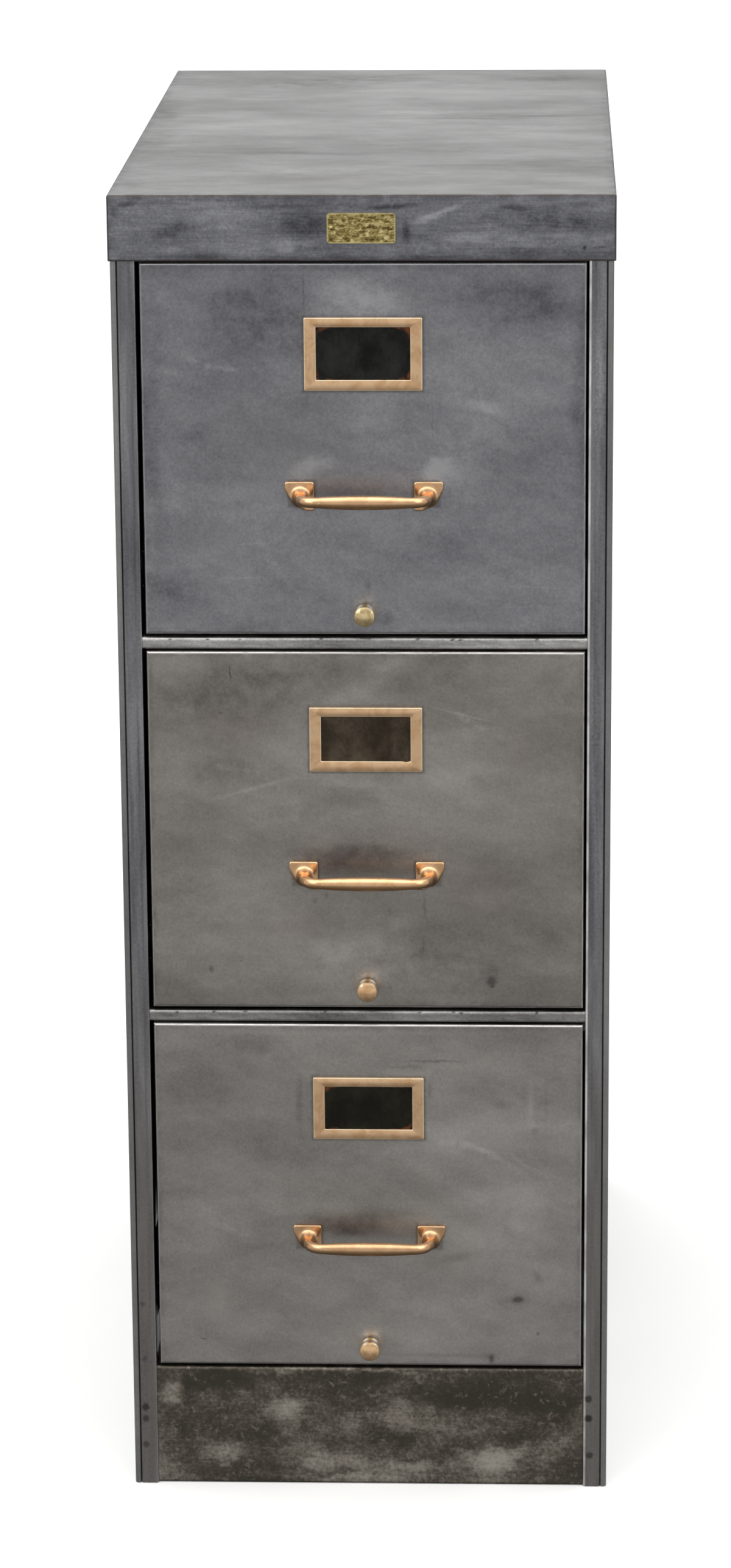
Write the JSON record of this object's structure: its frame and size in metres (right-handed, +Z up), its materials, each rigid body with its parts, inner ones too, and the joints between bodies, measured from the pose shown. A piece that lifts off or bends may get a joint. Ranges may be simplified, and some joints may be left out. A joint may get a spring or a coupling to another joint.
{
  "type": "vertical filing cabinet",
  "caption": "Tall steel filing cabinet with deep drawers on roller slides, each with a bow pull, a label frame, a guide rod with a turned knob and a sliding follower plate.",
  "frame": {"origin": "centre of the whole outline's footprint, at floor level", "axes": "+Z up, drawer fronts face -Y, +X to the right of someone who faces the drawers"},
  "size_m": [0.3838, 0.7546, 1.0487],
  "materials": {
    "case_steel": "bare ground steel under clear lacquer, worn and streaked",
    "front_steel": "bare ground steel under clear lacquer, with faint scratches and dark spots",
    "base_steel": "steel with dark brown mill scale, heavily mottled",
    "inner_steel": "plain folded sheet steel, dull",
    "bright_steel": "drawn bar, bright",
    "roller_steel": "turned and hardened steel",
    "pull_bronze": "cast bronze, brushed, darkened in its hollows",
    "frame_bronze": "brushed bronze plate with bright edges",
    "plate_brass": "aged brass plate, left blank",
    "knob_brass": "polished yellow brass",
    "knob_bronze": "turned copper-coloured bronze",
    "label_card": "near-black card, brown with rust at its corners"
  },
  "bodies": {
    "case": {"back_panel": "case_steel", "base_frame": "inner_steel", "base_front": "base_steel", "case_tracks": "inner_steel", "divider_rail_1": "case_steel", "divider_rail_2": "case_steel", "front_post_left": "case_steel", "front_post_right": "case_steel", "head_rail": "case_steel", "inner_posts": "inner_steel", "nameplate": "plate_brass", "nameplate_pins": "plate_brass", "side_panel_left": "case_steel", "side_panel_right": "case_steel", "top_cover": "case_steel"},
    "drawer_1": {"drawer_1_front_skin": "front_steel", "drawer_1_front_liner": "inner_steel", "drawer_1_tray": "inner_steel", "drawer_1_tracks": "inner_steel", "drawer_1_pull": "pull_bronze", "drawer_1_pull_screws": "bright_steel", "drawer_1_label_frame": "frame_bronze", "drawer_1_label_card": "label_card"},
    "arms_1": {"drawer_1_arms": "inner_steel"},
    "rod_1": {"drawer_1_rod": "bright_steel", "drawer_1_knob": "knob_brass"},
    "follower_1": {"drawer_1_follower": "inner_steel"},
    "rollers_front_1": {"drawer_1_rollers_front": "roller_steel"},
    "rollers_middle_1": {"drawer_1_rollers_middle": "roller_steel"},
    "rollers_rear_1": {"drawer_1_rollers_rear": "roller_steel"},
    "drawer_2": {"drawer_2_front_skin": "front_steel", "drawer_2_front_liner": "inner_steel", "drawer_2_tray": "inner_steel", "drawer_2_tracks": "inner_steel", "drawer_2_pull": "pull_bronze", "drawer_2_pull_screws": "bright_steel", "drawer_2_label_frame": "frame_bronze", "drawer_2_label_card": "label_card"},
    "arms_2": {"drawer_2_arms": "inner_steel"},
    "rod_2": {"drawer_2_rod": "bright_steel", "drawer_2_knob": "knob_bronze"},
    "follower_2": {"drawer_2_follower": "inner_steel"},
    "rollers_front_2": {"drawer_2_rollers_front": "roller_steel"},
    "rollers_middle_2": {"drawer_2_rollers_middle": "roller_steel"},
    "rollers_rear_2": {"drawer_2_rollers_rear": "roller_steel"},
    "drawer_3": {"drawer_3_front_skin": "front_steel", "drawer_3_front_liner": "inner_steel", "drawer_3_tray": "inner_steel", "drawer_3_tracks": "inner_steel", "drawer_3_pull": "pull_bronze", "drawer_3_pull_screws": "bright_steel", "drawer_3_label_frame": "frame_bronze", "drawer_3_label_card": "label_card"},
    "arms_3": {"drawer_3_arms": "inner_steel"},
    "rod_3": {"drawer_3_rod": "bright_steel", "drawer_3_knob": "knob_bronze"},
    "follower_3": {"drawer_3_follower": "inner_steel"},
    "rollers_front_3": {"drawer_3_rollers_front": "roller_steel"},
    "rollers_middle_3": {"drawer_3_rollers_middle": "roller_steel"},
    "rollers_rear_3": {"drawer_3_rollers_rear": "roller_steel"}
  },
  "joints": [
    {"name": "drawer_1_slide", "type": "slide", "parent": "case", "child": "drawer_1", "axis": [0, -1, 0], "range_m": [0, 0.61]},
    {"name": "arms_1_slide", "type": "slide", "parent": "case", "child": "arms_1", "axis": [0, -1, 0], "range_m": [0, 0.305]},
    {"name": "rollers_front_1_spin", "type": "hinge", "parent": "arms_1", "child": "rollers_front_1", "pos_m": [0, -0.3061, 0.7535], "axis": [1, 0, 0], "continuous": true},
    {"name": "rollers_middle_1_spin", "type": "hinge", "parent": "arms_1", "child": "rollers_middle_1", "pos_m": [0, -0.0011, 0.7535], "axis": [1, 0, 0], "continuous": true},
    {"name": "rollers_rear_1_spin", "type": "hinge", "parent": "arms_1", "child": "rollers_rear_1", "pos_m": [0, 0.3039, 0.7535], "axis": [1, 0, 0], "continuous": true},
    {"name": "rod_1_slide", "type": "slide", "parent": "drawer_1", "child": "rod_1", "axis": [0, -1, 0], "range_m": [0, 0.68]},
    {"name": "follower_1_slide", "type": "slide", "parent": "drawer_1", "child": "follower_1", "axis": [0, 1, 0], "range_m": [-0.54, 0]},
    {"name": "drawer_2_slide", "type": "slide", "parent": "case", "child": "drawer_2", "axis": [0, -1, 0], "range_m": [0, 0.61]},
    {"name": "arms_2_slide", "type": "slide", "parent": "case", "child": "arms_2", "axis": [0, -1, 0], "range_m": [0, 0.305]},
    {"name": "rollers_front_2_spin", "type": "hinge", "parent": "arms_2", "child": "rollers_front_2", "pos_m": [0, -0.3061, 0.4511], "axis": [1, 0, 0], "continuous": true},
    {"name": "rollers_middle_2_spin", "type": "hinge", "parent": "arms_2", "child": "rollers_middle_2", "pos_m": [0, -0.0011, 0.4511], "axis": [1, 0, 0], "continuous": true},
    {"name": "rollers_rear_2_spin", "type": "hinge", "parent": "arms_2", "child": "rollers_rear_2", "pos_m": [0, 0.3039, 0.4511], "axis": [1, 0, 0], "continuous": true},
    {"name": "rod_2_slide", "type": "slide", "parent": "drawer_2", "child": "rod_2", "axis": [0, -1, 0], "range_m": [0, 0.68]},
    {"name": "follower_2_slide", "type": "slide", "parent": "drawer_2", "child": "follower_2", "axis": [0, 1, 0], "range_m": [-0.54, 0]},
    {"name": "drawer_3_slide", "type": "slide", "parent": "case", "child": "drawer_3", "axis": [0, -1, 0], "range_m": [0, 0.61]},
    {"name": "arms_3_slide", "type": "slide", "parent": "case", "child": "arms_3", "axis": [0, -1, 0], "range_m": [0, 0.305]},
    {"name": "rollers_front_3_spin", "type": "hinge", "parent": "arms_3", "child": "rollers_front_3", "pos_m": [0, -0.3061, 0.1487], "axis": [1, 0, 0], "continuous": true},
    {"name": "rollers_middle_3_spin", "type": "hinge", "parent": "arms_3", "child": "rollers_middle_3", "pos_m": [0, -0.0011, 0.1487], "axis": [1, 0, 0], "continuous": true},
    {"name": "rollers_rear_3_spin", "type": "hinge", "parent": "arms_3", "child": "rollers_rear_3", "pos_m": [0, 0.3039, 0.1487], "axis": [1, 0, 0], "continuous": true},
    {"name": "rod_3_slide", "type": "slide", "parent": "drawer_3", "child": "rod_3", "axis": [0, -1, 0], "range_m": [0, 0.68]},
    {"name": "follower_3_slide", "type": "slide", "parent": "drawer_3", "child": "follower_3", "axis": [0, 1, 0], "range_m": [-0.54, 0]}
  ],
  "couplings": [
    {"joint": "arms_1_slide", "follows": "drawer_1_slide", "ratio": 0.5},
    {"joint": "rollers_front_1_spin", "follows": "drawer_1_slide", "rad_per_m": 40},
    {"joint": "rollers_middle_1_spin", "follows": "drawer_1_slide", "rad_per_m": 40},
    {"joint": "rollers_rear_1_spin", "follows": "drawer_1_slide", "rad_per_m": 40},
    {"joint": "arms_2_slide", "follows": "drawer_2_slide", "ratio": 0.5},
    {"joint": "rollers_front_2_spin", "follows": "drawer_2_slide", "rad_per_m": 40},
    {"joint": "rollers_middle_2_spin", "follows": "drawer_2_slide", "rad_per_m": 40},
    {"joint": "rollers_rear_2_spin", "follows": "drawer_2_slide", "rad_per_m": 40},
    {"joint": "arms_3_slide", "follows": "drawer_3_slide", "ratio": 0.5},
    {"joint": "rollers_front_3_spin", "follows": "drawer_3_slide", "rad_per_m": 40},
    {"joint": "rollers_middle_3_spin", "follows": "drawer_3_slide", "rad_per_m": 40},
    {"joint": "rollers_rear_3_spin", "follows": "drawer_3_slide", "rad_per_m": 40}
  ]
}
